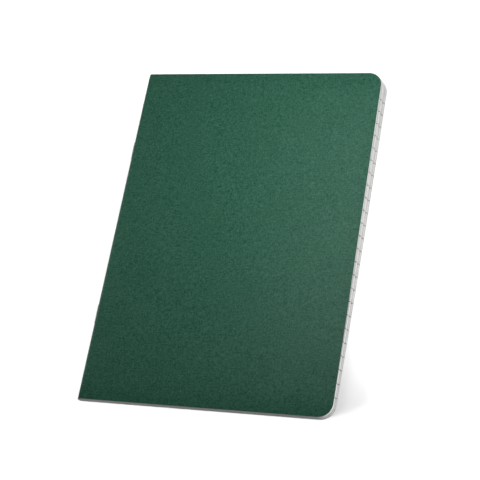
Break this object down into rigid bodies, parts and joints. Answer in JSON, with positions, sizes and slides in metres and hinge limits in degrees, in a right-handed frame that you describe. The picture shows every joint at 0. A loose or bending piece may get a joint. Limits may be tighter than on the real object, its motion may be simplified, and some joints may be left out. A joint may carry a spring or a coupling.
{
  "type": "composition notebook",
  "caption": "Thin soft-covered exercise notebook, saddle-stapled, with rounded fore-edge corners, dark green card covers that open and a fanned block of ruled leaves.",
  "frame": {"origin": "middle of the box's underside, on the surface that the closed notebook lies on", "axes": "+X from the spine to the fore-edge, +Y from the tail to the head, +Z from the back cover to the front cover"},
  "size_m": [0.1486, 0.21, 0.009],
  "materials": {
    "cover_card": "dark green uncoated card with a fine fibrous mottle and a soft sheen",
    "leaves": "smooth white writing paper with grey ruled lines",
    "staple_wire": "drawn steel wire, bright"
  },
  "bodies": {
    "pages": {"page_block": "leaves", "cover_spine": "cover_card", "staple_head": "staple_wire", "staple_tail": "staple_wire"},
    "back_cover": {"back_cover": "cover_card"},
    "front_cover": {"front_cover": "cover_card"}
  },
  "joints": [
    {"name": "back_cover_hinge", "type": "hinge", "parent": "pages", "child": "back_cover", "pos_m": [-0.07433, 0, 0.00112], "axis": [0, -1, 0], "range_deg": [-179.4, 0]},
    {"name": "front_cover_hinge", "type": "hinge", "parent": "pages", "child": "front_cover", "pos_m": [-0.07433, 0, 0.00337], "axis": [0, -1, 0], "range_deg": [0, 178]}
  ]
}
